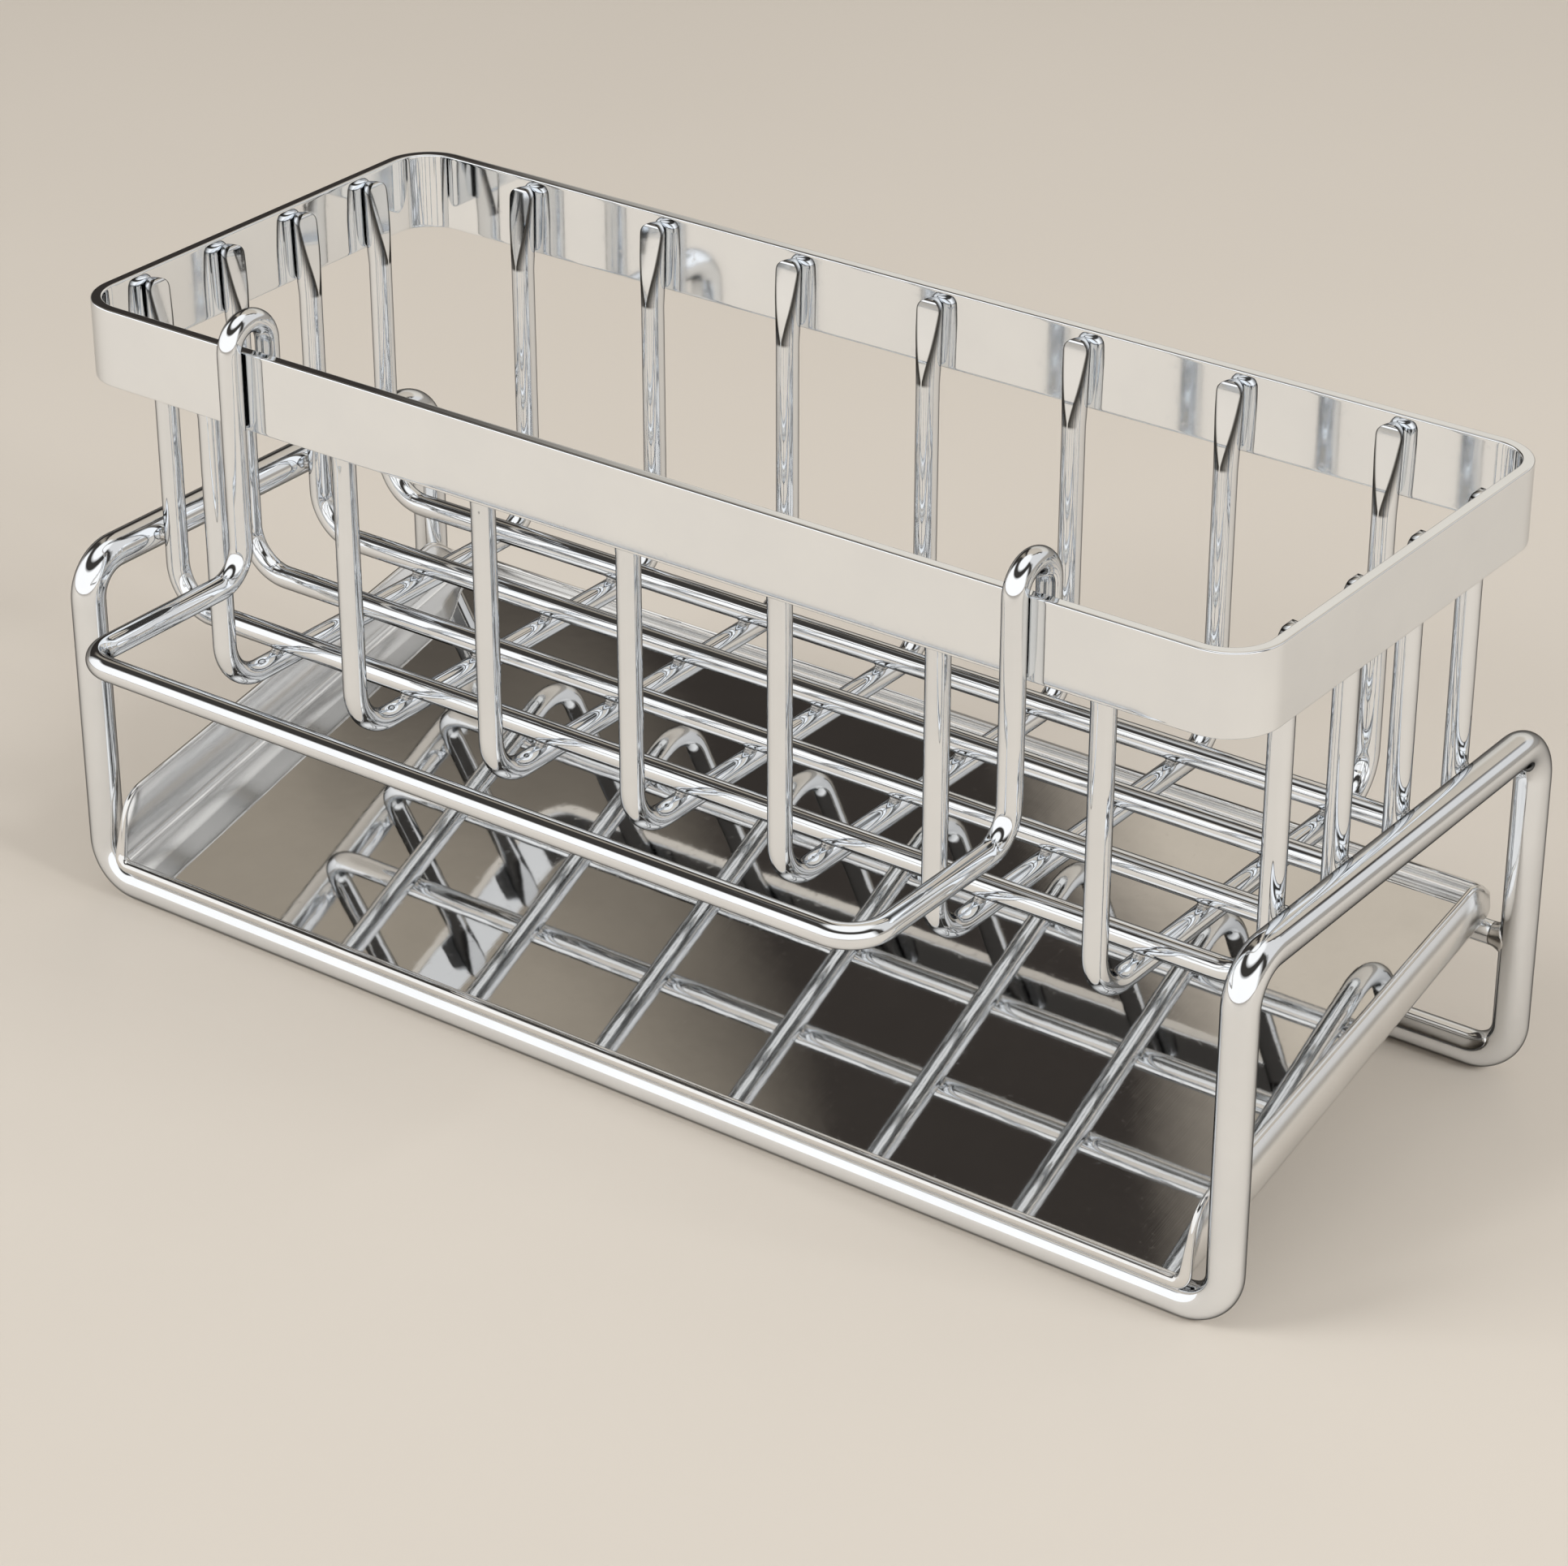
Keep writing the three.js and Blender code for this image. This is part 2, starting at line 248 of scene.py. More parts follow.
def stand_axes():
    """Axes of the stand's wire: X of the sides, Y of front and back, Z of ground and side rails."""
    low, high = box("stand_frame")
    low, high = low + STAND_RADIUS, high - STAND_RADIUS
    return high[0], (low[1], high[1]), (low[2], high[2])


def stand_rows():
    x, (front, back), (ground, rail) = stand_axes()
    turns = [(x, back, ground), (x, back, rail), (x, front, rail), (x, front, ground),
             (-x, front, ground), (-x, front, rail), (-x, back, rail), (-x, back, ground)]
    ends = [((side * WELD_GAP / 2, back, ground), 0) for side in (1, -1)]
    corners = [ends[0]] + [(at, STAND_BEND) for at in turns] + [ends[1]]
    return round_wire(corners, STAND_RADIUS, WELD_GAP)


def rail_rows():
    low, high = box("cloth_rail")
    band_low, band_high = box("rim_band")
    bar_y, bar_z = low[1] + RAIL_RADIUS, low[2] + RAIL_RADIUS
    hook_x, hook_top, inner_y = high[0] - RAIL_RADIUS, high[2] - RAIL_RADIUS, high[1] - RAIL_RADIUS
    outer_y = band_low[1] - REST_GAP - RAIL_RADIUS
    hook_bend = (inner_y - outer_y) / 2
    half = [
        ((-hook_x, inner_y, band_high[2] - HOOK_TIP_DROP), 0),
        ((-hook_x, inner_y, hook_top), hook_bend),
        ((-hook_x, outer_y, hook_top), hook_bend),
        ((-hook_x, outer_y, bar_z), RAIL_BEND),
        ((-hook_x, bar_y, bar_z), RAIL_BEND),
    ]
    other = [((-x, y, z), bend) for (x, y, z), bend in reversed(half)]
    return round_wire(half + other, RAIL_RADIUS, WIRE_END_EDGE)


def bar_rows():
    low, high = box("tray_bar")
    y, z = high[1] - BAR_RADIUS, high[2] - BAR_RADIUS
    return round_wire([((low[0], y, z), 0), ((high[0], y, z), 0)], BAR_RADIUS, WELD_GAP)


# Basket wires with pressed ends. The flat face has points at shares of its half width and the round back
# has its own. A dark outline of painted shade runs along the edges of the face and fades over the points
# beside them.

FACE_SHARES = np.array([-1.0, -0.88, -0.72, -0.3, 0.3, 0.72, 0.88, 1.0])
ARC_POINTS = 26
FACE_EDGE = 0.06
PRESS_STEPS = 26
PRESS_EASE = 0.4
ROUND_STEPS = 9
# Painted shade along the pressed face: how soon it starts, how it fades beside the edges, and its strength
# on the face
PAINTED_SHADE_RUN = 0.02
PAINTED_SHADE_FADE = (0.8, 0.4)
PAINTED_SHADE_ON_FACE = 0.9


def press_depth(share):
    """Share of the full depth of a pressing, which starts softly and then runs straight."""
    start = min(share, PRESS_EASE)
    return (start ** 2 + 2 * PRESS_EASE * (share - start)) / (PRESS_EASE * (2 - PRESS_EASE))


def wire_section(share, back, thin, narrow):
    """Section of a basket wire, inward and sideways, at a share of the pressing from 0 to 1. Its back
    reaches out to the band, and at the cut end it gets thin and narrow."""
    radius = WIRE_RADIUS
    flat = radius - (2 * radius - TIP_THICKNESS) * press_depth(share)
    edge = max(np.arccos(flat / radius), 2 * FACE_EDGE)
    face = FACE_SHARES * (edge - FACE_EDGE)
    arc = np.linspace(edge + FACE_EDGE, 2 * np.pi - edge - FACE_EDGE, ARC_POINTS)
    angles = np.concatenate([face, arc])
    inward = np.minimum(radius * np.cos(angles), flat)
    inward = np.where(inward < 0, inward * (1 + back * WELD_GAP / radius), inward)
    sideways = radius * np.sin(angles) * (1 + share * (TIP_WIDTH / (2 * radius) - 1))
    middle, half = (flat - radius) / 2, (flat + radius) / 2
    inward = middle + (inward - middle) * (1 - thin / half)
    return inward, sideways * (1 - narrow / (TIP_WIDTH / 2))


def round_inset(depth, radius):
    """How far a rounded edge lies inside, at a depth below the end."""
    return radius - np.sqrt(radius ** 2 - max(radius - depth, 0) ** 2)


def basket_wire(node, span):
    """A U wire that lies along one axis: 0 for X, 1 for Y."""
    low, high = box(node)
    middle = (low + high) / 2
    half = (high[span] - low[span]) / 2 - WIRE_RADIUS
    floor, top = low[2] + WIRE_RADIUS, high[2]
    band_bottom = box("rim_band")[0][2]
    press_start = top - TIP_LENGTH
    leg_end = floor + BASKET_BEND

    # Half of the wire, from its cut end to the floor: place along the span, height, and tangent
    stations = []
    for angle in np.linspace(np.pi / 2, 0, ROUND_STEPS):
        stations.append((-half, top - TIP_ROUND * (1 - np.sin(angle)), 0, -1))
    for z in np.linspace(top - TIP_ROUND, press_start, PRESS_STEPS)[1:]:
        stations.append((-half, z, 0, -1))
    stations.append((-half, leg_end + SUPPORT, 0, -1))
    for angle in np.linspace(0, np.pi / 2, BEND_STEPS + 1):
        sine, cosine = np.sin(angle), np.cos(angle)
        stations.append((-half + BASKET_BEND * (1 - cosine), leg_end - BASKET_BEND * sine, sine, -cosine))
    stations.append((-half + BASKET_BEND + SUPPORT, floor, 1, 0))
    stations += [(-s, z, ts, -tz) for s, z, ts, tz in reversed(stations)]

    side = 1 - span
    rows, painted_shades = [], []
    face = len(FACE_SHARES)
    for s, z, ts, tz in stations:
        share = np.clip((z - press_start) / TIP_LENGTH, 0, 1)
        back = np.clip((z - press_start) / (band_bottom - press_start), 0, 1)
        thin, narrow = (round_inset(top - z, edge) for edge in (TIP_EDGE, TIP_ROUND))
        inward, sideways = wire_section(share, back, thin, narrow)
        row = np.empty((len(inward), 3))
        row[:, span] = middle[span] + s - inward * tz
        row[:, side] = middle[side] + sideways
        row[:, 2] = z + inward * ts
        rows.append(row)
        # Painted shade: a dark outline along the edges of the pressed face, fading over the points beside
        # it
        painted_shade = np.zeros(len(inward))
        painted_shade[[0, face - 1, face, -1]] = min(share / PAINTED_SHADE_RUN, 1)
        painted_shade[[1, face - 2]] = PAINTED_SHADE_ON_FACE * painted_shade[0]
        for step, fade in enumerate(PAINTED_SHADE_FADE, 1):
            painted_shade[[face + step, -1 - step]] = fade * painted_shade[0]
        painted_shades.append(painted_shade)
    skin = Skin()
    skin.loft(rows)
    skin.marks[PAINTED_SHADE] = np.concatenate(painted_shades)
    return skin


# Rim band

def rounded_outline(width, height, radius, steps):
    """A rectangle with rounded corners round the origin, as points and outward normals, with support
    points beside the corners."""
    points, normals = [], []
    for turn, (sx, sy) in enumerate([(1, 1), (-1, 1), (-1, -1), (1, -1)]):
        centre = np.array([sx * (width / 2 - radius), sy * (height / 2 - radius)])
        angles = np.pi / 2 * (turn + np.linspace(0, 1, steps + 1))
        arc = np.stack([np.cos(angles), np.sin(angles)], axis=1)
        before, after = np.array([arc[0][1], -arc[0][0]]), np.array([-arc[-1][1], arc[-1][0]])
        support = min(SUPPORT, radius)
        points += [centre + radius * arc[0] + support * before, *(centre + radius * arc),
                   centre + radius * arc[-1] + support * after]
        normals += [arc[0], *arc, arc[-1]]
    return np.array(points), np.array(normals)


def band_rows():
    low, high = box("rim_band")
    size, middle = high - low, (low + high) / 2
    plan, normals = rounded_outline(size[0], size[1], BAND_CORNER, CORNER_STEPS)
    section, _ = rounded_outline(BAND_THICKNESS, size[2], BAND_EDGE, EDGE_STEPS)
    rows = []
    for point, normal in zip(plan, normals):
        ring = np.empty((len(section), 3))
        ring[:, :2] = middle[:2] + point + np.outer(section[:, 0] - BAND_THICKNESS / 2, normal)
        ring[:, 2] = middle[2] + section[:, 1]
        rows.append(ring)
    return rows


# Drip tray, in its own coordinates: across the rack, up the slope of the floor, and off the floor

class Tray:
    # Width of the strip of floor that belongs to the folded edge, and the fineness of its curves
    MARGIN = 3.0
    FRONT_STEPS = 12
    FALL_STEPS = 6
    FOLD_STEPS = 10
    PLAN_STEPS = 14
    BEAD_SIDES = 20

    def __init__(self):
        x, (front, back), (ground, _) = stand_axes()
        bar_z = box("tray_bar")[1][2] - BAR_RADIUS
        front_clear = STAND_RADIUS + REST_GAP + SHEET
        bar_clear = BAR_RADIUS + REST_GAP
        rise, depth = bar_z - ground, back - front
        reach = np.hypot(depth, rise)
        self.slope = np.arctan2(rise, depth) - np.arcsin((front_clear - bar_clear) / reach)
        self.origin = np.array([0, front - front_clear * np.sin(self.slope),
                                ground + front_clear * np.cos(self.slope)])
        self.front = -TRAY_FRONT_LIP
        self.rear = np.sqrt(reach ** 2 - (front_clear - bar_clear) ** 2) + TRAY_OVERHANG + TRAY_BEND
        self.half = box("drip_tray")[1][0]

    def place(self, local):
        """Points of the tray in the rack's frame."""
        local = np.asarray(local, float)
        cosine, sine = np.cos(self.slope), np.sin(self.slope)
        up, off = local[..., 1], local[..., 2]
        turned = [local[..., 0], up * cosine - off * sine, up * sine + off * cosine]
        return self.origin + np.stack(turned, -1)

    def rake(self, height):
        """How far the front edge of a wall lies back at a height."""
        return TRAY_WALL_RAKE * max(height - SHEET, 0) / (TRAY_WALL_FRONT - SHEET)

    def plan(self):
        """Stations round the outside of the walls, from the front left to the front right: place, outward
        direction, height of the wall, and the share of the rake."""
        left = []
        round_start = TRAY_WALL_FRONT - TRAY_WALL_ROUND
        ends = [np.array([self.front + self.rake(round_start), round_start]),
                np.array([self.front + TRAY_WALL_RAKE, TRAY_WALL_FRONT]),
                np.array([self.front + TRAY_WALL_RAKE + TRAY_WALL_ROUND, TRAY_WALL_FRONT])]
        for t in np.linspace(0, 1, self.FRONT_STEPS + 1):
            up, top = (1 - t) ** 2 * ends[0] + 2 * t * (1 - t) * ends[1] + t ** 2 * ends[2]
            left.append(((-self.half, up - self.rake(top)), (-1.0, 0.0), top, 1.0))

        fall_start = self.rear - TRAY_WALL_FALL
        left.append(((-self.half, fall_start), (-1.0, 0.0), TRAY_WALL_REAR, 0.0))

        def top_at(up):
            share = (up - fall_start) / TRAY_WALL_FALL
            return TRAY_WALL_REAR + (TRAY_LIP_REAR - TRAY_WALL_REAR) * share ** 2 * (3 - 2 * share)

        corner = np.array([-self.half + TRAY_CORNER, self.rear - TRAY_CORNER])
        for up in np.linspace(fall_start, corner[1], self.FALL_STEPS + 1)[1:-1]:
            left.append(((-self.half, up), (-1.0, 0.0), top_at(up), 0.0))
        for angle in np.linspace(0, np.pi / 2, self.PLAN_STEPS + 1):
            out = np.array([-np.cos(angle), np.sin(angle)])
            at = corner + TRAY_CORNER * out
            left.append((tuple(at), tuple(out), top_at(at[1]), 0.0))
        left.append(((corner[0] + SUPPORT, self.rear), (0.0, 1.0), TRAY_LIP_REAR, 0.0))
        return left + [((-x, up), (-out_x, out_up), top, lean)
                       for (x, up), (out_x, out_up), top, lean in reversed(left)]

    def skins(self):
        """Inner and outer points of the folded edge at each station, from the floor up to the rim."""
        inner, outer = [], []
        angles = np.linspace(0, np.pi / 2, self.FOLD_STEPS + 1)
        for (x, up), (out_x, out_up), top, lean in self.plan():
            for skin, set_in in ((inner, SHEET), (outer, 0.0)):
                fold = TRAY_BEND - set_in
                depths = [self.MARGIN, *(TRAY_BEND - fold * np.sin(angles)), set_in, set_in]
                heights = [set_in, *(TRAY_BEND - fold * np.cos(angles)), TRAY_BEND + SUPPORT, top]
                skin.append([(x - out_x * depth, up - out_up * depth + lean * self.rake(height), height)
                             for depth, height in zip(depths, heights)])
        return np.array(inner), np.array(outer)

    def sheet(self):
        """The pressed sheet: folded edges round a flat floor, open at the front."""
        inner, outer = self.skins()
        count, steps, _ = inner.shape
        skin = Skin()
        firsts = [skin.add_points(self.place(side)) for side in (inner, outer)]
        skin.marks[HAZE] = np.tile((np.arange(steps) > 1).astype(float), 2 * count)
        runs = np.linalg.norm(np.diff(outer[:, -1], axis=0), axis=1)
        along = np.concatenate([[0], np.cumsum(runs)])
        folds = np.linalg.norm(np.diff(outer[count // 2], axis=0), axis=1)
        around = np.concatenate([[0], np.cumsum(folds)])

        def corner(layer, i, j):
            return firsts[layer] + i * steps + j

        def patch(places):
            skin.add_face([corner(*place) for place in places],
                          [(around[j] + layer * SHEET, along[i]) for layer, i, j in places])

        for i in range(count - 1):
            for j in range(steps - 1):
                for layer in (0, 1):
                    patch([(layer, i, j), (layer, i + 1, j), (layer, i + 1, j + 1), (layer, i, j + 1)])
            patch([(0, i, steps - 1), (0, i + 1, steps - 1), (1, i + 1, steps - 1), (1, i, steps - 1)])
        for i in (0, count - 1):
            for j in range(steps - 1):
                patch([(0, i, j), (0, i, j + 1), (1, i, j + 1), (1, i, j)])
        for layer, side in enumerate((inner, outer)):
            skin.add_face([corner(layer, i, 0) for i in range(count)], [tuple(at[:2]) for at in side[:, 0]])
        lip = [(0, 0, 0), (0, count - 1, 0), (1, count - 1, 0), (1, 0, 0)]
        skin.add_face([corner(*place) for place in lip],
                      [(layer * SHEET, self.half * np.sign(i)) for layer, i, _ in lip])
        return skin

    def hem(self):
        """The rolled edge round the whole rim, thicker along the front, and its tail under the front."""
        inner, outer = self.skins()
        middle = (inner + outer) / 2
        rim, left, right = middle[:, -1], middle[0], middle[-1]
        half = len(rim) // 2
        path = np.concatenate([rim[:half][::-1], left[::-1][1:], right[:-1], rim[half:][::-1]])
        path = np.concatenate([path[:1] * [0, 1, 1], path, path[:1] * [0, 1, 1]])
        tangents = np.gradient(path, axis=0)
        tangents /= np.linalg.norm(tangents, axis=1, keepdims=True)
        rise = np.clip((path[:, 2] - SHEET) / (TRAY_WALL_FRONT - TRAY_WALL_ROUND), 0, 1)
        rise[path[:, 1] > self.front + TRAY_WALL_RAKE + TRAY_WALL_ROUND] = 1
        radii = LIP_BEAD + (WALL_BEAD - LIP_BEAD) * rise
        skin = Skin()
        skin.loft(self.place(np.array(tube(path, tangents, radii, self.BEAD_SIDES))))
        reach = self.half - TRAY_BEND
        outline, _ = rounded_outline(TRAY_HEM, SHEET, SHEET / 3, EDGE_STEPS)
        tail = [np.column_stack([np.full(len(outline), x), self.front + TRAY_HEM / 2 + outline[:, 0],
                                 outline[:, 1] - SHEET / 2]) for x in (-reach, reach)]
        skin.loft(self.place(np.array(tail)))
        return skin


# Welds: necks between wires that cross, collars on the tray bar, and the bead on the stand's butt joint

NECK_SIDES = 20
NECK_SHARES = np.linspace(0, 1, 7)
NECK_WAIST = 0.34
NECK_SINK = 0.05
CROSSING_REACH = 1.45
RAIL_REACH = 1.6
COLLAR_LENGTH = 1.6
COLLAR_FLARE = 0.65
BEAD_HALF = 1.3
BEAD_RISE = 0.22


def neck(skin, at, below, along_low, along_high, low_radius, high_radius, reach):
    """Weld metal between two wires that cross: at is midway between them, below points to the lower one,
    and the other directions run along the wires."""
    angles = np.arange(NECK_SIDES) * 2 * np.pi / NECK_SIDES
    rows = []
    for share in NECK_SHARES:
        spread = reach * (1 - NECK_WAIST * np.sin(np.pi * share))
        a, b = spread * np.cos(angles), spread * np.sin(angles)
        low = low_radius - np.sqrt(low_radius ** 2 - (reach * np.sin(angles)) ** 2)
        high = high_radius - np.sqrt(high_radius ** 2 - (reach * np.cos(angles)) ** 2)
        start = WELD_GAP / 2 + NECK_SINK
        depth = (low + start) * (1 - share) - (high + start) * share
        rows.append(at + np.outer(a, along_low) + np.outer(b, along_high) + np.outer(depth, below))
    skin.loft(rows)


def basket_welds():
    """Necks at the crossings of the basket floor, and between the long wires' legs and the side rails."""
    x_axis, y_axis, z_axis = np.eye(3)
    stand_x, _, (_, rail_z) = stand_axes()
    cross = [box(node) for node in sorted(body_of) if node.startswith("cross_wire")]
    long = [box(node) for node in sorted(body_of) if node.startswith("long_wire")]
    skin = Skin()
    for long_low, long_high in long:
        y = (long_low[1] + long_high[1]) / 2
        for cross_low, cross_high in cross:
            at = np.array([(cross_low[0] + cross_high[0]) / 2, y, long_low[2] - WELD_GAP / 2])
            neck(skin, at, -z_axis, y_axis, x_axis, WIRE_RADIUS, WIRE_RADIUS, CROSSING_REACH)
        for side in (-1, 1):
            at = np.array([side * (stand_x - STAND_RADIUS - WELD_GAP / 2), y, rail_z])
            neck(skin, at, side * x_axis, y_axis, z_axis, STAND_RADIUS, WIRE_RADIUS, RAIL_REACH)
    return skin


def stand_welds():
    """Collars where the tray bar meets the legs, and the bead where the stand's ends meet."""
    stand_x, (_, back), (ground, _) = stand_axes()
    bar_z = box("tray_bar")[1][2] - BAR_RADIUS
    angles = np.arange(TUBE_SIDES) * 2 * np.pi / TUBE_SIDES
    skin = Skin()
    for side in (-1, 1):
        rows = []
        for share in NECK_SHARES:
            radius = BAR_RADIUS + COLLAR_FLARE * share ** 2
            y, z = radius * np.cos(angles), radius * np.sin(angles)
            wall = stand_x - np.sqrt(STAND_RADIUS ** 2 - y ** 2) + NECK_SINK
            start = stand_x - STAND_RADIUS - COLLAR_LENGTH
            x = start + (wall - start) * share
            rows.append(np.column_stack([side * x, back + y, bar_z + z]))
        skin.loft(rows)
    rows = []
    for share in np.linspace(-1, 1, 2 * len(NECK_SHARES) - 1):
        radius = STAND_RADIUS - NECK_SINK + BEAD_RISE * np.cos(np.pi / 2 * share)
        y, z = radius * np.cos(angles), radius * np.sin(angles)
        rows.append(np.column_stack([np.full(TUBE_SIDES, share * BEAD_HALF), back + y,
                                     np.maximum(ground + z, 0)]))
    skin.loft(rows)
    return skin


# Materials

class Nodes:
    """A node tree, with short ways to add and join its nodes."""

    def __init__(self, tree):
        self.tree = tree
        tree.nodes.clear()

    def add(self, kind, values=None, **settings):
        node = self.tree.nodes.new(kind)
        for key, value in settings.items():
            setattr(node, key, value)
        for socket, value in (values or {}).items():
            if isinstance(value, bpy.types.NodeSocket):
                self.tree.links.new(value, node.inputs[socket])
            else:
                node.inputs[socket].default_value = value
        return node

    def noise(self, vector, scale, detail, roughness=0.5):
        return self.add("ShaderNodeTexNoise", {
            "Vector": vector, "Scale": scale, "Detail": detail, "Roughness": roughness,
        }).outputs["Fac"]

    def ramp_between(self, value, low, high, out_low, out_high):
        return self.add("ShaderNodeMapRange", {
            "Value": value, "From Min": low, "From Max": high, "To Min": out_low, "To Max": out_high,
        }).outputs["Result"]

    def mix_colour(self, factor, first, second):
        node = self.add("ShaderNodeMix", data_type="RGBA")
        for socket, value in (("Factor_Float", factor), ("A_Color", first), ("B_Color", second)):
            target = next(item for item in node.inputs if item.identifier == socket)
            if isinstance(value, bpy.types.NodeSocket):
                self.tree.links.new(value, target)
            else:
                target.default_value = value
        return next(item for item in node.outputs if item.identifier == "Result_Color")


def new_material(name):
    material = bpy.data.materials.new(name)
    material.use_nodes = True
    return material, Nodes(material.node_tree)


# Steel mirrors less at a grazing angle, wire more so than strip and sheet. The edges of a pressed face get
# painted shade, a dark outline, and folded sheet is hazy.
WIRE_GRAZING, SHEET_GRAZING = 0.12, 0.75
PAINTED_SHADE_COLOUR = (0.08, 0.078, 0.075, 1)
HAZE_ROUGHNESS = 0.2

# Noises on steel: drawn lines by the millimetre of stock, and patches, specks and unevenness by the metre.
# Heights of the relief are in microns.
DRAWN_SCALE = (5.0, 0.05, 1.0)
PATCH_SCALE, SPECK_SCALE, UNEVEN_SCALE = 70.0, 900.0, 140.0
SPECK_ROUGHNESS = 0.05
MICRON = 0.000001


def steel(name, light, dark, roughness, grain, wave, grazing):
    """Polished steel: faint patches of tone and gloss from handling, lines drawn along the stock, and the
    slight unevenness of a polished surface."""
    material, nodes = new_material(name)
    place = nodes.add("ShaderNodeTexCoord").outputs["Object"]
    stock = nodes.add("ShaderNodeUVMap", uv_map=STOCK_UV).outputs["UV"]
    drawn = nodes.add("ShaderNodeMapping", {"Vector": stock, "Scale": DRAWN_SCALE}).outputs["Vector"]
    lines = nodes.noise(drawn, 1.0, 3.0)
    patches = nodes.noise(place, PATCH_SCALE, 4.0, 0.6)
    specks = nodes.noise(place, SPECK_SCALE, 2.0)
    uneven = nodes.noise(place, UNEVEN_SCALE, 2.0)
    tone = nodes.ramp_between(patches, 0.3, 0.7, 0.0, 1.0)
    clean = nodes.mix_colour(tone, (*dark, 1), (*light, 1))
    # Painted shade: the edges of a pressed face are mixed towards a dark colour
    painted_shade = nodes.add("ShaderNodeAttribute", attribute_name=PAINTED_SHADE).outputs["Fac"]
    colour = nodes.mix_colour(painted_shade, clean, PAINTED_SHADE_COLOUR)
    gloss = nodes.ramp_between(patches, 0.25, 0.75, *roughness)
    speckled = nodes.ramp_between(specks, 0.6, 0.8, 0.0, SPECK_ROUGHNESS)
    haze = nodes.add("ShaderNodeAttribute", attribute_name=HAZE).outputs["Fac"]
    stretched = nodes.ramp_between(haze, 0.0, 1.0, 0.0, HAZE_ROUGHNESS)
    plain = nodes.add("ShaderNodeMath", {0: gloss, 1: speckled}, operation="ADD").outputs["Value"]
    rough = nodes.add("ShaderNodeMath", {0: plain, 1: stretched}, operation="ADD").outputs["Value"]
    waves = nodes.add("ShaderNodeBump", {
        "Height": uneven, "Strength": 1.0, "Distance": wave * MICRON,
    }).outputs["Normal"]
    bump = nodes.add("ShaderNodeBump", {
        "Height": lines, "Strength": 1.0, "Distance": grain * MICRON, "Normal": waves,
    }).outputs["Normal"]
    shader = nodes.add("ShaderNodeBsdfPrincipled", {
        "Base Color": colour, "Metallic": 1.0, "Roughness": rough, "Normal": bump,
        "Specular Tint": (grazing, grazing, grazing, 1),
    })
    nodes.add("ShaderNodeOutputMaterial", {"Surface": shader.outputs["BSDF"]})
    return material


FLOOR_LIGHT, FLOOR_DARK = (0.595, 0.537, 0.468), (0.565, 0.508, 0.44)
FLOOR_CLOUD_SCALE = 6.0
FLOOR_ROUGHNESS = 0.6


def worktop():
    material, nodes = new_material("pale_floor")
    place = nodes.add("ShaderNodeTexCoord").outputs["Object"]
    cloud = nodes.noise(place, FLOOR_CLOUD_SCALE, 3.0)
    colour = nodes.mix_colour(cloud, (*FLOOR_DARK, 1), (*FLOOR_LIGHT, 1))
    shader = nodes.add("ShaderNodeBsdfPrincipled", {"Base Color": colour, "Roughness": FLOOR_ROUGHNESS})
    nodes.add("ShaderNodeOutputMaterial", {"Surface": shader.outputs["BSDF"]})
    return material


LIGHT_STEEL, DARK_STEEL = (0.915, 0.94, 0.97), (0.865, 0.89, 0.92)
LIGHT_BAND, DARK_BAND = (0.95, 0.975, 1.0), (0.91, 0.935, 0.965)
LIGHT_SHEET, DARK_SHEET = (0.86, 0.86, 0.855), (0.80, 0.80, 0.795)
LIGHT_WELD, DARK_WELD = (0.74, 0.735, 0.72), (0.60, 0.59, 0.575)
WIRE = steel("wire_steel", LIGHT_STEEL, DARK_STEEL, (0.02, 0.06), 0.4, 0.8, WIRE_GRAZING)
STAND = steel("stand_steel", LIGHT_STEEL, DARK_STEEL, (0.02, 0.05), 0.4, 0.8, WIRE_GRAZING)
BAND = steel("band_steel", LIGHT_BAND, DARK_BAND, (0.03, 0.07), 0.2, 0.8, SHEET_GRAZING)
TRAY = steel("tray_steel", LIGHT_SHEET, DARK_SHEET, (0.02, 0.04), 0.5, 5.0, SHEET_GRAZING)
WELD = steel("weld_steel", LIGHT_WELD, DARK_WELD, (0.12, 0.24), 3.0, 20.0, WIRE_GRAZING)


# Pieces

def dress(name, rows, material, node, closed=False):
    skin = Skin()
    skin.loft(rows, closed)
    return skin.make(name, material, node)


dress("stand_wire", stand_rows(), STAND, "stand_frame")
dress("rim_strip", band_rows(), BAND, "rim_band", closed=True)
dress("tray_bar_wire", bar_rows(), STAND, "tray_bar")
dress("cloth_rail_wire", rail_rows(), WIRE, "cloth_rail")
for node in sorted(body_of):
    if node.startswith("cross_wire"):
        basket_wire(node, 1).make(f"{node}_drawn", WIRE, node)
    elif node.startswith("long_wire"):
        basket_wire(node, 0).make(f"{node}_drawn", WIRE, node)

tray = Tray()
tray.sheet().make("drip_tray_sheet", TRAY, "drip_tray")
tray.hem().make("drip_tray_hem", TRAY, "drip_tray", replaces=False)
basket_welds().make("basket_welds", WELD, "rim_band", replaces=False)
stand_welds().make("stand_welds", WELD, "stand_frame", replaces=False)


# Floor, light and camera

FLOOR_HALF = 6.0
CAMERA_PLACE = (0.3927, -0.5172, 0.3956)
CAMERA_TARGET = (0.0231, -0.0119, 0.0586)
CAMERA_LENS = 104.04
LAMP_SIZE = (0.9, 0.7)
LAMP_SPREAD = np.radians(70)
LAMP_COLOUR = (0.93, 0.965, 1.0)


def floor():
    mesh = bpy.data.meshes.new("floor")
    reach = FLOOR_HALF
    mesh.from_pydata([(-reach, -reach, 0), (reach, -reach, 0), (reach, reach, 0), (-reach, reach, 0)], [],
                     [(0, 1, 2, 3)])
    mesh.materials.append(worktop())
    plane = bpy.data.objects.new("floor", mesh)
    bpy.context.scene.collection.objects.link(plane)


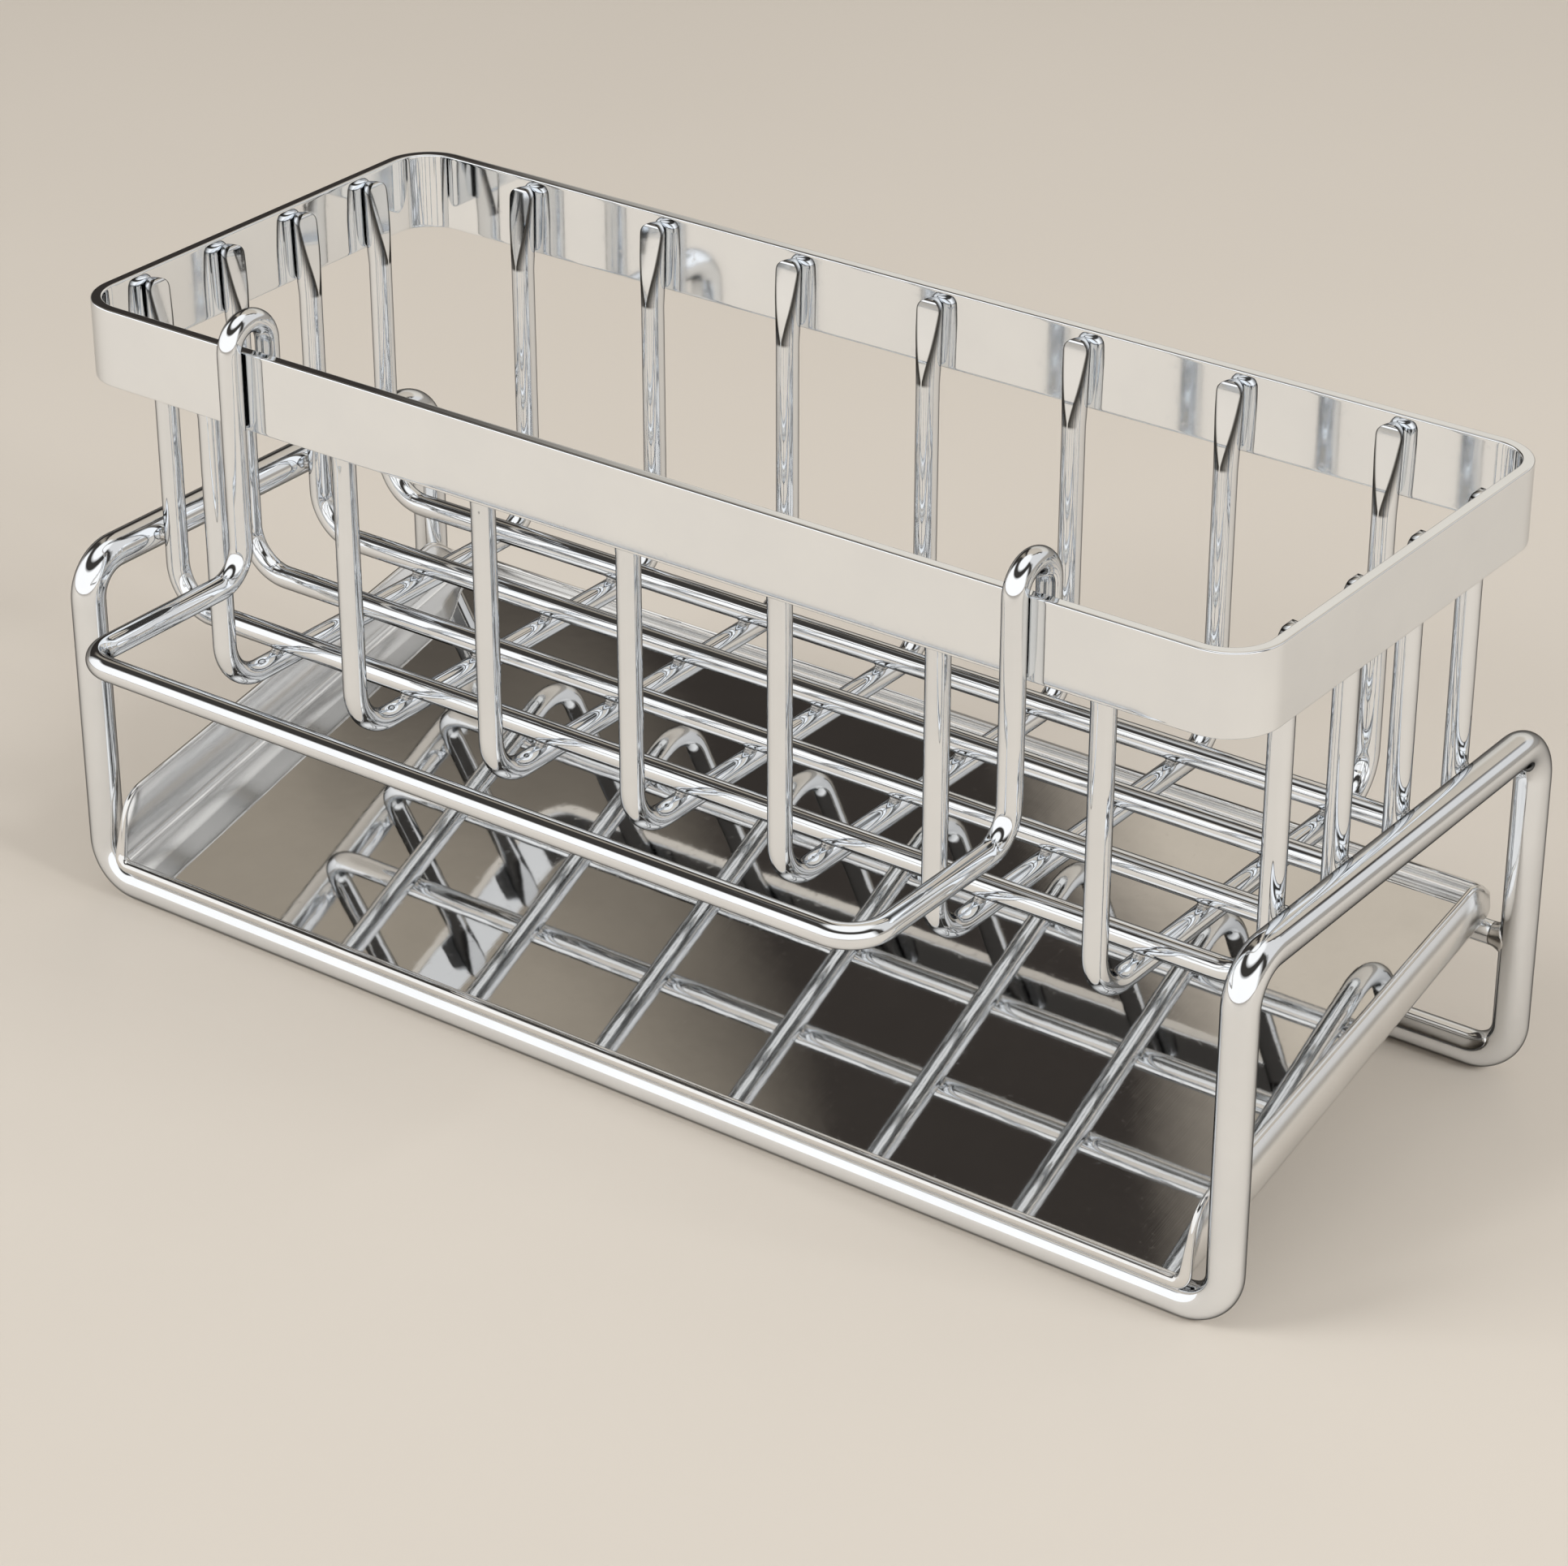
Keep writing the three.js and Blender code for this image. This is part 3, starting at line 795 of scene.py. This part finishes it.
def soft_light(name, place, target, watts):
    """A soft lamp that lights the floor and the rack. The steel mirrors the room and not the lamp, which
    would leave ragged white lines on the wires."""
    light = bpy.data.lights.new(name, "AREA")
    light.shape = "RECTANGLE"
    light.size, light.size_y = LAMP_SIZE
    light.spread = LAMP_SPREAD
    light.energy = watts
    light.color = LAMP_COLOUR
    lamp = bpy.data.objects.new(name, light)
    lamp.location = place
    lamp.rotation_euler = (Vector(target) - Vector(place)).to_track_quat("-Z", "Y").to_euler()
    lamp.visible_glossy = False
    bpy.context.scene.collection.objects.link(lamp)


# The room as stops of colour. The sink side goes by the sine of the elevation. The wall side goes by the
# bearing, from the right over the back to the left, with one row of stops low on the wall and one above it,
# between a dim foot and a bright ceiling. The ranges after the stops say where one passes into the next: by
# the sine of the elevation on the wall, and at the wall's start by how far a direction points back.
BRIGHT, DIM, DARK = (1.1, 1.085, 1.065), (0.40, 0.37, 0.33), (0.045, 0.041, 0.037)
BEIGE, BROWN, LAMP = (0.34, 0.30, 0.245), (0.042, 0.036, 0.032), (1.05, 1.04, 1.02)
CREAM, PALE, SAND = (0.80, 0.75, 0.67), (0.74, 0.73, 0.72), (0.61, 0.545, 0.46)
SINK_SIDE = [(0.0, BRIGHT), (0.62, BRIGHT), (0.70, DARK), (0.85, DARK), (0.92, LAMP)]
LOW_BEARINGS = [(0.08, DARK), (0.12, PALE), (0.40, PALE), (0.44, CREAM), (0.69, CREAM), (0.73, BROWN)]
WALL_BEARINGS = [(0.08, DARK), (0.12, PALE), (0.36, PALE), (0.38, BROWN), (0.40, BROWN), (0.43, SAND),
                 (0.73, SAND), (0.75, BROWN), (0.79, BROWN), (0.81, BEIGE), (0.86, BEIGE), (0.90, DARK)]
WALL_LOW, WALL_MIDDLE, WALL_HIGH = (0.17, 0.25), (0.47, 0.56), (0.87, 0.93)
BEARING_SWAY, SWAY_SCALE = 0.015, 6.0
WALL_START = (-0.10, 0.10)


def room():
    """The room around the rack as patches of light and shade, which polished steel mirrors."""
    world = bpy.data.worlds.new("room")
    world.use_nodes = True
    bpy.context.scene.world = world
    nodes = Nodes(world.node_tree)

    def bands(value, stops):
        ramp = nodes.add("ShaderNodeValToRGB", {"Fac": value})
        elements = ramp.color_ramp.elements
        while len(elements) < len(stops):
            elements.new(1.0)
        for element, (place, colour) in zip(elements, stops):
            element.position = place
            element.color = (*colour, 1)
        return ramp.outputs["Color"]

    def math(operation, first, second):
        return nodes.add("ShaderNodeMath", {0: first, 1: second}, operation=operation).outputs["Value"]

    direction = nodes.add("ShaderNodeTexCoord").outputs["Generated"]
    parts = nodes.add("ShaderNodeSeparateXYZ", {"Vector": direction}).outputs
    turn = math("ARCTAN2", math("MULTIPLY", parts["X"], -1.0), parts["Y"])
    bearing = nodes.ramp_between(turn, -np.pi / 2, np.pi / 2, 0.0, 1.0)
    blur = nodes.noise(direction, SWAY_SCALE, 2.0)
    sway = nodes.ramp_between(blur, 0.3, 0.7, -BEARING_SWAY, BEARING_SWAY)
    swayed = math("ADD", bearing, sway)
    wall = nodes.mix_colour(nodes.ramp_between(parts["Z"], *WALL_MIDDLE, 0.0, 1.0),
                            bands(swayed, LOW_BEARINGS), bands(swayed, WALL_BEARINGS))
    wall = nodes.mix_colour(nodes.ramp_between(parts["Z"], *WALL_LOW, 1.0, 0.0), wall, (*DIM, 1))
    wall = nodes.mix_colour(nodes.ramp_between(parts["Z"], *WALL_HIGH, 0.0, 1.0), wall, (*LAMP, 1))
    back = nodes.ramp_between(parts["Y"], *WALL_START, 0.0, 1.0)
    colour = nodes.mix_colour(back, bands(parts["Z"], SINK_SIDE), wall)
    shader = nodes.add("ShaderNodeBackground", {"Color": colour, "Strength": 1.0})
    nodes.add("ShaderNodeOutputWorld", {"Surface": shader.outputs["Background"]})


floor()
room()
soft_light("key", (-1.05, -1.3, 1.05), (-0.2, -0.3, 0.0), 4.3)
soft_light("side", (1.9, 0.1, 1.05), (0.28, 0.2, 0.0), 5.6)

camera_data = bpy.data.cameras.new("camera")
camera_data.lens = CAMERA_LENS
camera = bpy.data.objects.new("camera", camera_data)
camera.location = CAMERA_PLACE
camera.rotation_euler = (Vector(CAMERA_TARGET) - Vector(CAMERA_PLACE)).to_track_quat("-Z", "Y").to_euler()
bpy.context.scene.collection.objects.link(camera)
bpy.context.scene.camera = camera
bpy.context.scene.view_settings.view_transform = "Standard"
